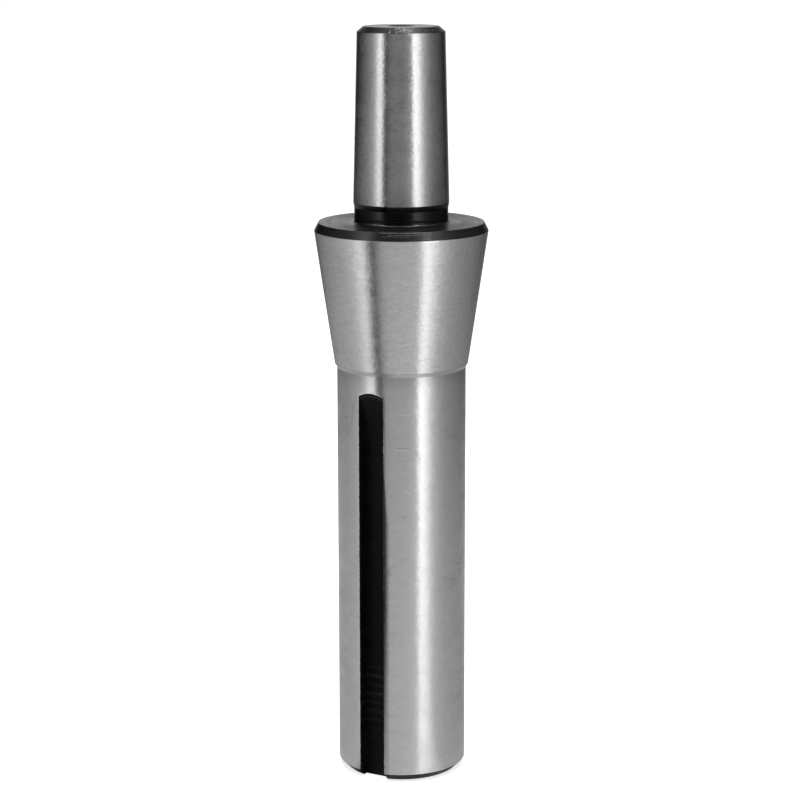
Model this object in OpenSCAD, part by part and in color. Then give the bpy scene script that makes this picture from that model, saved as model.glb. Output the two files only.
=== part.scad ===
// Drill chuck arbor for a milling spindle, turned and ground from one bar of steel.
// It stands on its drawbar end, with its axis on Z and its keyway facing -Y.

/* [Shank] */
// Diameter of the ground shank
shank_d = 24.1; // [20:0.1:30]
// Height of the bevel round the drawbar end, cut at 45 degrees
end_bevel = 1.4; // [0.4:0.1:2]

/* [Seat cone] */
// Included angle of the seat cone, in degrees
seat_angle = 16.85; // [14:0.05:20]
// Diameter of the seat cone at its gauge line
gauge_d = 31.75; // [29:0.05:36]
// Height of the gauge line above the drawbar end
gauge_h = 101.6; // [95:0.1:115]
// Largest diameter of the seat cone, at its rim
rim_d = 32.3; // [31.8:0.1:38]
// Length of the ground cone, measured along the axis
seat_len = 24.8; // [16:0.1:28]
// Height of the steep step that joins the cone to the shank
step_h = 0.7; // [0.2:0.1:2]

/* [Flange] */
// Height of the bevel between the rim and the flange face
rim_bevel_h = 1.6; // [0.5:0.1:4]
// Width of that bevel, measured towards the axis
rim_bevel_w = 0.8; // [0.2:0.1:3]

/* [Neck] */
// Diameter of the neck between the flange and the nose
neck_d = 17.4; // [12:0.1:17.6]
// Length of the neck, from the flange face to the nose
neck_len = 3.7; // [2.5:0.1:10]
// Height of the sloping relief under the nose
relief_h = 1; // [0.3:0.1:1.5]
// Radius of the fillet where the neck meets the flange face
neck_fillet = 0.5; // [0.1:0.1:0.9]

/* [Taper nose] */
// Diameter of the nose at its large end
nose_d = 17.78; // [17.7:0.01:24]
// Length of the nose, its end bevel included
nose_len = 32; // [20:0.5:45]
// Length in which the nose's diameter falls by one millimetre
nose_taper = 20.02; // [15:0.01:30]
// Height of the bevel round the nose's end
nose_bevel_h = 1; // [0.3:0.1:2]
// Width of that bevel, measured towards the axis
nose_bevel_w = 1.2; // [0.3:0.1:2]

/* [Keyway] */
// Width of the keyway
key_w = 5.05; // [3:0.05:8]
// Depth of the keyway, measured from the top of the shank's curve
key_depth = 2.6; // [1.5:0.1:3.5]
// Height at which the keyway runs out through the shank's surface
key_top = 74.7; // [40:0.1:76]
// Diameter of the disc cutter that leaves the run-out
cutter_d = 80; // [40:1:120]

/* [Drawbar hole] */
// Bore of the drawbar thread, as drilled for tapping
tap_d = 9.92; // [6:0.01:12]
// Depth of the drilled hole at its full bore
tap_depth = 36; // [15:0.5:50]
// Angle of the drill's point, in degrees
point_angle = 118; // [90:1:140]
// Diameter of the countersink at the hole's mouth
mouth_d = 13; // [12.2:0.1:16]
// Included angle of both countersinks, in degrees
countersink_angle = 60; // [55:1:90]

/* [Centre hole] */
// Diameter of the centre hole at the nose's end face
centre_d = 4.7; // [3:0.05:8]
// Diameter of its pilot hole
pilot_d = 2; // [1:0.1:2.8]
// Depth of the pilot hole at its full bore
pilot_depth = 4.5; // [4:0.1:10]

/* [Hidden] */
$fn = 144;
// How far a cutting shape reaches past the surface that it opens
overcut = 1;
// Sides in a quarter of a fillet
fillet_steps = 6;
shank_r = shank_d / 2;
rim_r = rim_d / 2;
neck_r = neck_d / 2;
nose_r = nose_d / 2;
seat_slope = tan(seat_angle / 2);
rim_z = gauge_h + (rim_r - gauge_d / 2) / seat_slope;
seat_z = rim_z - seat_len;
seat_r = rim_r - seat_len * seat_slope;
face_z = rim_z + rim_bevel_h;
face_r = rim_r - rim_bevel_w;
nose_z = face_z + neck_len;
top_z = nose_z + nose_len;
nose_end_r = nose_r - (nose_len - nose_bevel_h) / nose_taper / 2;
top_r = nose_end_r - nose_bevel_w;
cutter_r = cutter_d / 2;
// Height above the floor's end at which the cutter leaves the shank
runout_h = sqrt(cutter_r * cutter_r - pow(cutter_r - key_depth, 2));
floor_r = shank_r - key_depth;
floor_z = key_top - runout_h;

// Points of a hollow quarter fillet: it comes in along a face and leaves up a wall.
function fillet(wall_r, foot_z, r) = [
    for (i = [0 : fillet_steps])
        let (a = 90 * i / fillet_steps)
            [wall_r + r * (1 - sin(a)), foot_z + r * (1 - cos(a))]
];

// Half section of the turned and ground outside.
module half_section() {
    polygon(concat(
        [
            [0, 0],
            [shank_r - end_bevel, 0],
            [shank_r, end_bevel],
            [shank_r, seat_z - step_h],
            [seat_r, seat_z],
            [rim_r, rim_z],
            [face_r, face_z]
        ],
        fillet(neck_r, face_z, neck_fillet),
        [
            [neck_r, nose_z - relief_h],
            [nose_r, nose_z],
            [nose_end_r, top_z - nose_bevel_h],
            [top_r, top_z],
            [0, top_z]
        ]
    ));
}

// Countersink that opens at z = 0 and narrows upwards to a given bore.
module countersink(mouth, bore) {
    slope = tan(countersink_angle / 2);
    depth = (mouth - bore) / 2 / slope;
    translate([0, 0, -overcut])
        cylinder(d1 = mouth + 2 * overcut * slope, d2 = bore, h = depth + overcut);
}

// Drilled hole that opens at z = 0 and ends in the drill's point.
module drilled_hole(bore, depth) {
    translate([0, 0, -overcut])
        cylinder(d = bore, h = depth + overcut);
    translate([0, 0, depth])
        cylinder(d1 = bore, d2 = 0, h = bore / 2 / tan(point_angle / 2));
}

// Tapped hole for the drawbar, at its bore before the thread is cut.
module drawbar_hole() {
    drilled_hole(tap_d, tap_depth);
    countersink(mouth_d, tap_d);
}

// Centre hole in the nose's end face, for grinding between centres.
module centre_hole() {
    translate([0, 0, top_z])
        mirror([0, 0, 1]) {
            drilled_hole(pilot_d, pilot_depth);
            countersink(centre_d, pilot_d);
        }
}

// Keyway open at the drawbar end, with a run-out of the disc cutter's radius at the top.
module keyway() {
    translate([-key_w / 2, -shank_r - overcut, -overcut])
        cube([key_w, key_depth + overcut, floor_z + overcut]);
    translate([-key_w / 2, -floor_r - cutter_r, floor_z])
        rotate([0, 90, 0])
            cylinder(r = cutter_r, h = key_w);
}

// The whole arbor: one solid of hardened steel.
module arbor() {
    color("silver")
        difference() {
            rotate_extrude()
                half_section();
            drawbar_hole();
            centre_hole();
            keyway();
        }
}

arbor();
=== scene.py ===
"""Looks of the drill chuck arbor: one turned and ground piece of steel, its studio and its camera.

The arbor's skin is one closed mesh. Turned stretches of its outline are revolved by a Geometry Nodes
tree, the drawbar thread is cut by a second tree, and the shank with its keyway is laid out in rows and
columns that follow the slot. Every size is in metres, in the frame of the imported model.
"""

import logging
import math
from collections.abc import Iterable
from dataclasses import dataclass
from enum import Enum, auto
from itertools import pairwise
from typing import TypeAlias

import bmesh
import bpy
import numpy as np
from bpy.types import Material, Mesh, Node, NodeSocket, NodeTree, Object
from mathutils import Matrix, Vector, noise


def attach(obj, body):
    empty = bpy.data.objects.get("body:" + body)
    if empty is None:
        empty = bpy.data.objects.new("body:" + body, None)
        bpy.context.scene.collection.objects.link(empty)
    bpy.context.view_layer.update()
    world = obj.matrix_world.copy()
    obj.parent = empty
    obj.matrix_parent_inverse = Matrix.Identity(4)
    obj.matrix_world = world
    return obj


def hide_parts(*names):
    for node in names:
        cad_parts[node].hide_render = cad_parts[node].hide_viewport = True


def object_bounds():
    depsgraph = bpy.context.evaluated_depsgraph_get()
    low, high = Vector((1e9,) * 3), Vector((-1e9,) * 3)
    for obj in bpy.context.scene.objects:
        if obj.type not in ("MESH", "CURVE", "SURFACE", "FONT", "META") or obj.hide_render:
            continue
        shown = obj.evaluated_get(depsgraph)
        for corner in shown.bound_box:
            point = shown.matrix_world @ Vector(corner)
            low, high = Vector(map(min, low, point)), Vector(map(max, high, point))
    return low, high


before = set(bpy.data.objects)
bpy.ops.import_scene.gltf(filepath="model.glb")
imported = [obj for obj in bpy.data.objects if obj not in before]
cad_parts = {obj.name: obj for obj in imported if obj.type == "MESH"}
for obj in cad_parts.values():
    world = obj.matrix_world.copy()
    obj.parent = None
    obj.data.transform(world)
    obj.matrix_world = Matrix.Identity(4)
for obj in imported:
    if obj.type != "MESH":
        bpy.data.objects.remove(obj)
CAD_LOW, CAD_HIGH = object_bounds()

LOG = logging.getLogger("arbor")
MM = 0.001
FULL_TURN = 2 * math.pi
# Points closer than this are one
WELD = 2e-7
# Radius of the small rounding on the turned edges
EDGE_EASE = 0.12 * MM
# Edges that turn by more than this stay sharp in the shading
SHARP_TURN = math.radians(24)
BODY = "root"
NODE = "arbor"

Point: TypeAlias = tuple[float, float]
Place: TypeAlias = tuple[float, float, float]
Operand: TypeAlias = "Signal | float"


class Zone(Enum):
    """Stretches of the arbor's skin, each with a finish of its own."""

    END_FACE = auto()
    END_BEVEL = auto()
    SHANK = auto()
    STEP = auto()
    CONE = auto()
    RIM_BEVEL = auto()
    FLANGE_FACE = auto()
    NECK = auto()
    NOSE = auto()
    NOSE_BEVEL = auto()
    TOP_FACE = auto()
    CENTRE_HOLE = auto()
    KEYWAY = auto()
    THREAD = auto()
    BORE = auto()


def turned(r: float, angle: float, z: float) -> Place:
    """Point at a radius, at an angle from -Y towards +X, and at a height."""
    return (r * math.sin(angle), -r * math.cos(angle), z)


def faded(distance: float, reach: float) -> float:
    """0 where a fade starts, rising to 1 at its reach and beyond."""
    return min(max(distance, 0.0) / reach, 1.0)


def linked(name: str, data: bpy.types.ID) -> Object:
    """Puts a new object into the scene.

    Args:
        name: name of the object.
        data: its mesh, light or camera.

    Returns:
        The object.
    """
    made = bpy.data.objects.new(name, data)
    bpy.context.scene.collection.objects.link(made)
    return made


@dataclass(frozen=True)
class ArborSizes:
    """Sizes of the arbor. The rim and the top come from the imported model, the rest hangs from them."""

    rim_r: float
    top_z: float
    shank_r: float = 12.05 * MM
    end_bevel: float = 1.4 * MM
    seat_half_angle: float = math.radians(16.85 / 2)
    seat_len: float = 24.8 * MM
    step_h: float = 0.7 * MM
    rim_bevel_h: float = 1.6 * MM
    rim_bevel_w: float = 0.8 * MM
    neck_r: float = 8.7 * MM
    neck_len: float = 3.7 * MM
    relief_h: float = 1.0 * MM
    neck_fillet: float = 0.5 * MM
    nose_r: float = 8.89 * MM
    nose_len: float = 32.0 * MM
    nose_taper: float = 20.02
    nose_bevel_h: float = 1.0 * MM
    nose_bevel_w: float = 1.2 * MM
    key_half: float = 2.525 * MM
    key_depth: float = 2.6 * MM
    key_top: float = 74.7 * MM
    cutter_r: float = 40.0 * MM
    tap_r: float = 4.96 * MM
    tap_depth: float = 36.0 * MM
    point_half_angle: float = math.radians(59)
    mouth_r: float = 6.5 * MM
    countersink_slope: float = math.tan(math.radians(30))
    thread_r: float = 5.556 * MM
    thread_pitch: float = 1.27 * MM
    thread_depth: float = 29.0 * MM
    centre_r: float = 2.35 * MM
    pilot_r: float = 1.0 * MM
    pilot_depth: float = 4.5 * MM

    @property
    def face_z(self) -> float:
        """Height of the flange face."""
        return self.top_z - self.nose_len - self.neck_len

    @property
    def face_r(self) -> float:
        """Radius at which the flange face meets its bevel."""
        return self.rim_r - self.rim_bevel_w

    @property
    def rim_z(self) -> float:
        """Height of the cone's rim."""
        return self.face_z - self.rim_bevel_h

    @property
    def seat_z(self) -> float:
        """Height of the cone's small end."""
        return self.rim_z - self.seat_len

    @property
    def seat_r(self) -> float:
        """Radius of the cone's small end."""
        return self.rim_r - self.seat_len * math.tan(self.seat_half_angle)

    @property
    def shank_top(self) -> float:
        """Height at which the shank ends under the step."""
        return self.seat_z - self.step_h

    @property
    def nose_z(self) -> float:
        """Height of the nose's large end."""
        return self.face_z + self.neck_len

    @property
    def nose_end_r(self) -> float:
        """Radius of the nose where its end bevel starts."""
        return self.nose_r - (self.nose_len - self.nose_bevel_h) / self.nose_taper / 2

    @property
    def floor_r(self) -> float:
        """Distance of the keyway's floor from the axis."""
        return self.shank_r - self.key_depth

    @property
    def floor_z(self) -> float:
        """Height at which the keyway's flat floor turns into the cutter's run-out."""
        return self.key_top - self.runout_rise(self.shank_r)

    @property
    def key_corner_z(self) -> float:
        """Height at which the keyway's walls run out through the shank."""
        return self.arch_z(self.key_half)

    def runout_rise(self, distance: float) -> float:
        """Height above the flat floor's end at which the run-out reaches a distance from the axis."""
        left = self.cutter_r + self.floor_r - distance
        return math.sqrt(max(self.cutter_r**2 - left**2, 0.0))

    def arch_z(self, x: float) -> float:
        """Height at which the run-out leaves the shank's surface, at a distance from the slot's middle."""
        return self.floor_z + self.runout_rise(math.sqrt(self.shank_r**2 - x**2))

    def floor_y(self, z: float) -> float:
        """Place of the keyway's floor at a height: flat first, then the cutter's arc."""
        rise = max(z - self.floor_z, 0.0)
        return -(self.floor_r + self.cutter_r) + math.sqrt(self.cutter_r**2 - rise**2)


@dataclass(frozen=True)
class Around:
    """Columns round the axis: a fan across the keyway's sector and a wider fan round the rest."""

    half_angle: float
    key_steps: int = 14
    rest_steps: int = 130

    @property
    def steps(self) -> int:
        """Number of columns round the whole arbor."""
        return self.key_steps + self.rest_steps

    @property
    def key_angles(self) -> np.ndarray:
        """Angles of the columns across the keyway's sector, from its left to its right edge."""
        return np.linspace(-self.half_angle, self.half_angle, self.key_steps + 1)


@dataclass(frozen=True)
class Corner:
    """A corner of the arbor's half section, and the finish of the stretch that starts there."""

    r: float
    z: float
    zone: Zone
    ease: float = 0.0


@dataclass(frozen=True)
class Stretch:
    """A run of the half section with one finish, as points from bottom to top."""

    zone: Zone
    points: tuple[Point, ...]


@dataclass(frozen=True)
class Outline:
    """Turns the corners of a half section into stretches with small rounded edges."""

    corners: list[Corner]
    rows: dict[Zone, int]
    arc_steps: int = 4
    hold: float = 0.16 * MM

    def arc(self, i: int) -> list[Vector]:
        """Points of a rounded corner, or the corner itself where it stays sharp.

        Args:
            i: index of the corner.

        Returns:
            The points, from the stretch before to the stretch after.
        """
        here = self.corners[i]
        at = Vector((here.r, here.z))
        if here.ease <= 0 or i in (0, len(self.corners) - 1):
            return [at]
        before, after = self.corners[i - 1], self.corners[i + 1]
        back = (Vector((before.r, before.z)) - at).normalized()
        ahead = (Vector((after.r, after.z)) - at).normalized()
        inner = back.angle(ahead)
        reach = here.ease / math.tan(inner / 2)
        middle = at + (back + ahead).normalized() * (here.ease / math.sin(inner / 2))
        first = at + back * reach - middle
        last = at + ahead * reach - middle
        sweep = first.angle(last)
        points = []
        for k in range(self.arc_steps + 1):
            share = k / self.arc_steps
            low = math.sin((1 - share) * sweep) / math.sin(sweep)
            high = math.sin(share * sweep) / math.sin(sweep)
            points.append(middle + first * low + last * high)
        return points

    def between(self, low: Vector, high: Vector, rows: int) -> list[Vector]:
        """Points between two ends, with one close to each end so that shading stays flat.

        Args:
            low: first end.
            high: last end.
            rows: rows between the two.

        Returns:
            The inner points in order.
        """
        length = (high - low).length
        if length < 4 * self.hold:
            return []
        near = self.hold / length
        shares = [near, *(k / rows for k in range(1, rows)), 1 - near]
        return [low.lerp(high, s) for s in shares]

    def stretches(self) -> list[Stretch]:
        """Cuts the section at the middle of each rounded corner.

        Returns:
            The stretches in order.
        """
        arcs = [self.arc(i) for i in range(len(self.corners))]
        found = []
        for corner, (before, after) in zip(self.corners, pairwise(arcs), strict=False):
            start, end = before[len(before) // 2 :], after[: len(after) // 2 + 1]
            inner = self.between(start[-1], end[0], self.rows.get(corner.zone, 1))
            found.append(Stretch(corner.zone, tuple((p.x, p.y) for p in (*start, *inner, *end))))
        return found


class Signal:
    """An output socket that can be used in sums like a number."""

    def __init__(self, graph: "Graph", socket: NodeSocket) -> None:
        """Keeps the socket and the graph that it belongs to."""
        self.graph = graph
        self.socket = socket

    def __add__(self, other: Operand) -> "Signal":
        """The sum."""
        return self.graph.math("ADD", self, other)

    def __sub__(self, other: Operand) -> "Signal":
        """The difference."""
        return self.graph.math("SUBTRACT", self, other)

    def __rsub__(self, other: float) -> "Signal":
        """A plain number less this signal."""
        return self.graph.math("SUBTRACT", other, self)

    def __mul__(self, other: Operand) -> "Signal":
        """The product."""
        return self.graph.math("MULTIPLY", self, other)

    def __truediv__(self, other: Operand) -> "Signal":
        """The quotient."""
        return self.graph.math("DIVIDE", self, other)

    def __rtruediv__(self, other: float) -> "Signal":
        """A plain number divided by this signal."""
        return self.graph.math("DIVIDE", other, self)

    def __pow__(self, other: float) -> "Signal":
        """The power."""
        return self.graph.math("POWER", self, other)

    def __abs__(self) -> "Signal":
        """The value without its sign."""
        return self.graph.math("ABSOLUTE", self)

    def __lt__(self, other: float) -> "Signal":
        """1 where the value is below a limit, else 0."""
        return self.graph.math("LESS_THAN", self, other)

    def __gt__(self, other: float) -> "Signal":
        """1 where the value is above a limit, else 0."""
        return self.graph.math("GREATER_THAN", self, other)

    def __or__(self, other: Operand) -> "Signal":
        """The larger of two values, which unites two masks."""
        return self.graph.math("MAXIMUM", self, other)

    def __and__(self, other: Operand) -> "Signal":
        """The smaller of two values."""
        return self.graph.math("MINIMUM", self, other)

    def clamped(self, low: Operand, high: Operand, first: Operand = 0.0, last: Operand = 1.0) -> "Signal":
        """Maps the span from low to high onto first to last, and holds it beyond both ends."""
        links = {"Value": self, "From Min": low, "From Max": high, "To Min": first, "To Max": last}
        return self.graph.signal("ShaderNodeMapRange", links, "Result", clamp=True)


def hypotenuse(a: Signal, b: Signal) -> Signal:
    """Length of the diagonal over two sides."""
    return a.graph.math("SQRT", a * a + b * b)


class Graph:
    """Short hand for laying out a node tree of any kind."""

    def __init__(self, tree: NodeTree) -> None:
        """Keeps the tree that the nodes go into."""
        self.tree = tree

    def feed(self, socket: NodeSocket, value: object) -> None:
        """Gives an input what it takes.

        Args:
            socket: the input.
            value: a signal to link, or a plain value to set.
        """
        if isinstance(value, Signal):
            self.tree.links.new(value.socket, socket)
        else:
            socket.default_value = value

    def node(self, kind: str, links: dict | None = None, **settings: object) -> Node:
        """Adds a node.

        Args:
            kind: Blender's name of the node.
            links: what each input takes, by name or number: a signal or a plain value.
            settings: attributes of the node.

        Returns:
            The new node.
        """
        made = self.tree.nodes.new(kind)
        for key, value in settings.items():
            setattr(made, key, value)
        for key, value in (links or {}).items():
            self.feed(made.inputs[key], value)
        return made

    def signal(
        self, kind: str, links: dict | None = None, output: int | str = 0, **settings: object
    ) -> Signal:
        """Adds a node as node() does, and gives one of its outputs by number or name."""
        return Signal(self, self.node(kind, links, **settings).outputs[output])

    def signals(self, kind: str, links: dict | None = None, **settings: object) -> dict[str, Signal]:
        """Adds a node as node() does, and gives all its outputs by name."""
        made = self.node(kind, links, **settings)
        return {socket.name: Signal(self, socket) for socket in made.outputs}

    def math(self, operation: str, *values: Operand) -> Signal:
        """Adds a Math node."""
        return self.signal("ShaderNodeMath", dict(enumerate(values)), operation=operation)

    def vector(self, operation: str, *values: object) -> Signal:
        """Adds a Vector Math node and gives its vector."""
        return self.signal("ShaderNodeVectorMath", dict(enumerate(values)), operation=operation)

    def measure(self, operation: str, *values: object) -> Signal:
        """Adds a Vector Math node and gives its plain value."""
        return self.signal("ShaderNodeVectorMath", dict(enumerate(values)), "Value", operation=operation)

    def blend(self, share: Operand, low: Operand, high: Operand) -> Signal:
        """Mixes two values: low where the share is 0, high where it is 1."""
        return self.signal("ShaderNodeMix", {0: share, 2: low, 3: high}, data_type="FLOAT")

    def split(self, vector: Signal) -> list[Signal]:
        """X, Y and Z of a vector."""
        return list(self.signals("ShaderNodeSeparateXYZ", {"Vector": vector}).values())

    def joined(self, x: Operand, y: Operand, z: Operand = 0.0) -> Signal:
        """A vector of three values."""
        return self.signal("ShaderNodeCombineXYZ", {"X": x, "Y": y, "Z": z})

    def coordinates(self) -> Signal:
        """Place on the piece, in its own frame."""
        return self.signal("ShaderNodeTexCoord", output="Object")

    def noise(self, vector: Signal, detail: float = 2.0, rough: float = 0.5) -> Signal:
        """Noise about 0.5, whose scale is already in the vector; detail and rough say how fine it is."""
        links = {"Vector": vector, "Scale": 1.0, "Detail": detail, "Roughness": rough}
        return self.signal("ShaderNodeTexNoise", links, noise_dimensions="3D")


class Group(Graph):
    """A node group with named inputs and outputs."""

    def __init__(self, name: str, kind: str, inputs: dict[str, float | str], outputs: dict[str, str]) -> None:
        """Starts the group.

        Args:
            name: name of the group.
            kind: kind of the tree.
            inputs: the usual value of each plain input, or the socket kind of any other.
            outputs: the socket kind of each output.
        """
        super().__init__(bpy.data.node_groups.new(name, kind))
        for label, usual in inputs.items():
            plain = not isinstance(usual, str)
            socket = "NodeSocketFloat" if plain else f"NodeSocket{usual}"
            made = self.tree.interface.new_socket(label, in_out="INPUT", socket_type=socket)
            if plain:
                made.default_value = usual
        for label, what in outputs.items():
            self.tree.interface.new_socket(label, in_out="OUTPUT", socket_type=f"NodeSocket{what}")
        self.given = self.signals("NodeGroupInput")
        self.result = self.node("NodeGroupOutput").inputs

    def put(self, label: str, value: Signal) -> None:
        """Links a signal to a named output."""
        self.feed(self.result[label], value)


class TurnedTree(Group):
    """A Geometry Nodes tree that lays rows and columns of vertices round the Z axis."""

    def __init__(self, name: str, more: dict[str, float | str] | None = None) -> None:
        """Starts the tree with the inputs that all such trees share, and with its own.

        Args:
            name: name of the tree.
            more: its own inputs.
        """
        inputs = {"Geometry": "Geometry", "Steps": "Int", "Key steps": "Int", "Half angle": 0.0}
        inputs |= {"Material": "Material"} | (more or {})
        super().__init__(name, "GeometryNodeTree", inputs, {"Geometry": "Geometry"})

    def column_angle(self, column: Signal) -> Signal:
        """Angle of a column: an even fan across the keyway's sector, then an even fan round the rest.

        Args:
            column: number of the column.

        Returns:
            The angle, 0 facing -Y.
        """
        half, key_steps = self.given["Half angle"], self.given["Key steps"]
        across = column.clamped(0.0, key_steps, half * -1.0, half)
        return across + column.clamped(key_steps, self.given["Steps"], 0.0, FULL_TURN - half * 2.0)

    def grid(self, rows: Signal) -> tuple[Signal, Signal, Signal]:
        """Adds a grid of vertices.

        Args:
            rows: number of rows.

        Returns:
            The mesh, and the row and column number of a vertex.
        """
        across = self.given["Steps"] + 1.0
        mesh = self.signal("GeometryNodeMeshGrid", {"Vertices X": rows, "Vertices Y": across}, "Mesh")
        index = self.signal("GeometryNodeInputIndex")
        row = self.math("FLOOR", (index + 0.5) / across)
        return mesh, row, index - row * across

    def finished(self, mesh: Signal, r: Signal, angle: Signal, z: Signal) -> NodeTree:
        """Puts each vertex in its place, welds the seam and ends the tree.

        Args:
            mesh: the grid.
            r: radius of a vertex.
            angle: its angle, 0 facing -Y.
            z: its height.

        Returns:
            The tree.
        """
        place = self.joined(r * self.math("SINE", angle), r * self.math("COSINE", angle) * -1.0, z)
        steps = (
            ("GeometryNodeSetPosition", {"Position": place}),
            ("GeometryNodeMergeByDistance", {"Distance": WELD}),
            ("GeometryNodeRealizeInstances", {}),
            ("GeometryNodeSetMaterial", {"Material": self.given["Material"]}),
        )
        for kind, links in steps:
            mesh = self.signal(kind, {"Geometry": mesh} | links)
        self.put("Geometry", mesh)
        return self.tree


def revolve_tree() -> NodeTree:
    """Tree that revolves the line of points it is given round the Z axis.

    Returns:
        The node tree.
    """
    nodes = TurnedTree("turned_stretch")
    line = nodes.given["Geometry"]
    links = {"Geometry": line}
    count = nodes.signal("GeometryNodeAttributeDomainSize", links, "Point Count", component="MESH")
    mesh, row, column = nodes.grid(count)
    links = {"Geometry": line, "Value": nodes.signal("GeometryNodeInputPosition"), "Index": row}
    point = nodes.signal("GeometryNodeSampleIndex", links, data_type="FLOAT_VECTOR", domain="POINT")
    r, _, z = nodes.split(point)
    return nodes.finished(mesh, r, nodes.column_angle(column), z)


def thread_tree() -> NodeTree:
    """Tree that cuts a right-hand thread into a bore, from its countersunk mouth to its run-out.

    Rows follow the helix. Over one pitch the bore's radius keeps to the crest for 3 eighths, falls away
    for 2, keeps to the root for 1 and comes back for 2. The countersink wins wherever it is wider.

    Returns:
        The node tree.
    """
    lengths = ("Crest radius", "Root radius", "Pitch", "Depth", "Mouth radius", "Mouth slope", "Fade")
    nodes = TurnedTree("drawbar_thread", {"Rows in a turn": "Int"} | dict.fromkeys(lengths, 0.0))
    given = nodes.given
    crest, pitch, depth = given["Crest radius"], given["Pitch"], given["Depth"]
    in_turn = given["Rows in a turn"]
    mesh, row, column = nodes.grid(nodes.math("CEIL", (depth / pitch + 1.0) * in_turn) + 2.0)
    angle = nodes.column_angle(column)
    turn = (angle - FULL_TURN) / FULL_TURN
    height = ((row / in_turn + turn) * pitch | 0.0) & depth
    phase = nodes.math("FRACT", height / pitch - turn + 1e-5)
    cut = phase.clamped(0.375, 0.625) - phase.clamped(0.75, 1.0)
    fade = height.clamped(depth - given["Fade"], depth, 1.0, 0.0)
    threaded = crest + (given["Root radius"] - crest) * fade * cut
    sunk = given["Mouth radius"] - height * given["Mouth slope"]
    return nodes.finished(mesh, threaded | sunk, angle, height)


def grown(name: str, line: Iterable[Point], tree: NodeTree, values: dict[str, object]) -> Mesh:
    """Runs a tree on a line of points and gives the plain mesh.

    Args:
        name: name of the mesh.
        line: radius and height of each point.
        tree: the Geometry Nodes tree.
        values: value of each named input.

    Returns:
        The evaluated mesh, with nothing live on it.
    """
    source = bpy.data.meshes.new(f"{name}_line")
    points = [(r, 0.0, z) for r, z in line]
    source.from_pydata(points, list(pairwise(range(len(points)))), [])
    holder = linked(f"{name}_line", source)
    live = holder.modifiers.new("grow", "NODES")
    live.node_group = tree
    for item in tree.interface.items_tree:
        if item.in_out == "INPUT" and item.name in values:
            live[item.identifier] = values[item.name]
    bpy.context.view_layer.update()
    ready = holder.evaluated_get(bpy.context.evaluated_depsgraph_get())
    mesh = bpy.data.meshes.new_from_object(ready)
    holder.modifiers.remove(live)
    bpy.data.objects.remove(holder)
    bpy.data.meshes.remove(source)
    return mesh


class Skin:
    """Collects the arbor's patches and welds them into one closed mesh."""

    def __init__(self, materials: dict[Zone, Material]) -> None:
        """Starts an empty skin.

        Args:
            materials: material of each zone.
        """
        self.materials = materials
        self.slots: list[Material] = []
        self.made = bmesh.new()

    def slot(self, zone: Zone) -> int:
        """Finds the zone's material slot, and adds it where it is new.

        Args:
            zone: the zone.

        Returns:
            The slot's number.
        """
        material = self.materials[zone]
        if material not in self.slots:
            self.slots.append(material)
        return self.slots.index(material)

    def add_patch(self, rows: list, zone: Zone) -> None:
        """Adds a patch of quads.

        Args:
            rows: rows of points, all of one length.
            zone: the patch's zone.
        """
        corners = [[self.made.verts.new(p) for p in row] for row in rows]
        number = self.slot(zone)
        for low, high in pairwise(corners):
            for (a, b), (d, c) in zip(pairwise(low), pairwise(high), strict=True):
                self.made.faces.new((a, b, c, d)).material_index = number

    def add_mesh(self, mesh: Mesh, zone: Zone) -> None:
        """Adds a finished mesh as one zone, and drops the mesh.

        Args:
            mesh: the mesh.
            zone: its zone.
        """
        before = len(self.made.faces)
        self.made.from_mesh(mesh)
        self.made.faces.ensure_lookup_table()
        number = self.slot(zone)
        for face in self.made.faces[before:]:
            face.material_index = number
        bpy.data.meshes.remove(mesh)

    def closed(self, name: str) -> Object:
        """Welds the patches, turns all faces outwards and gives the finished object.

        Args:
            name: name of the piece.

        Returns:
            The object, linked to the scene, at the origin.
        """
        made = self.made
        bmesh.ops.remove_doubles(made, verts=made.verts[:], dist=WELD)
        bmesh.ops.dissolve_degenerate(made, edges=made.edges[:], dist=WELD)
        bmesh.ops.recalc_face_normals(made, faces=made.faces[:])
        if made.calc_volume(signed=True) < 0:
            bmesh.ops.reverse_faces(made, faces=made.faces[:])
        open_edges = sum(1 for e in made.edges if not e.is_manifold)
        LOG.info("%s: %d faces, %d open edges", name, len(made.faces), open_edges)
        for face in made.faces:
            face.smooth = True
        for edge in made.edges:
            if len(edge.link_faces) == 2:
                edge.smooth = edge.calc_face_angle(0.0) < SHARP_TURN
        mesh = bpy.data.meshes.new(name)
        made.to_mesh(mesh)
        made.free()
        for material in self.slots:
            mesh.materials.append(material)
        return linked(name, mesh)


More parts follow.
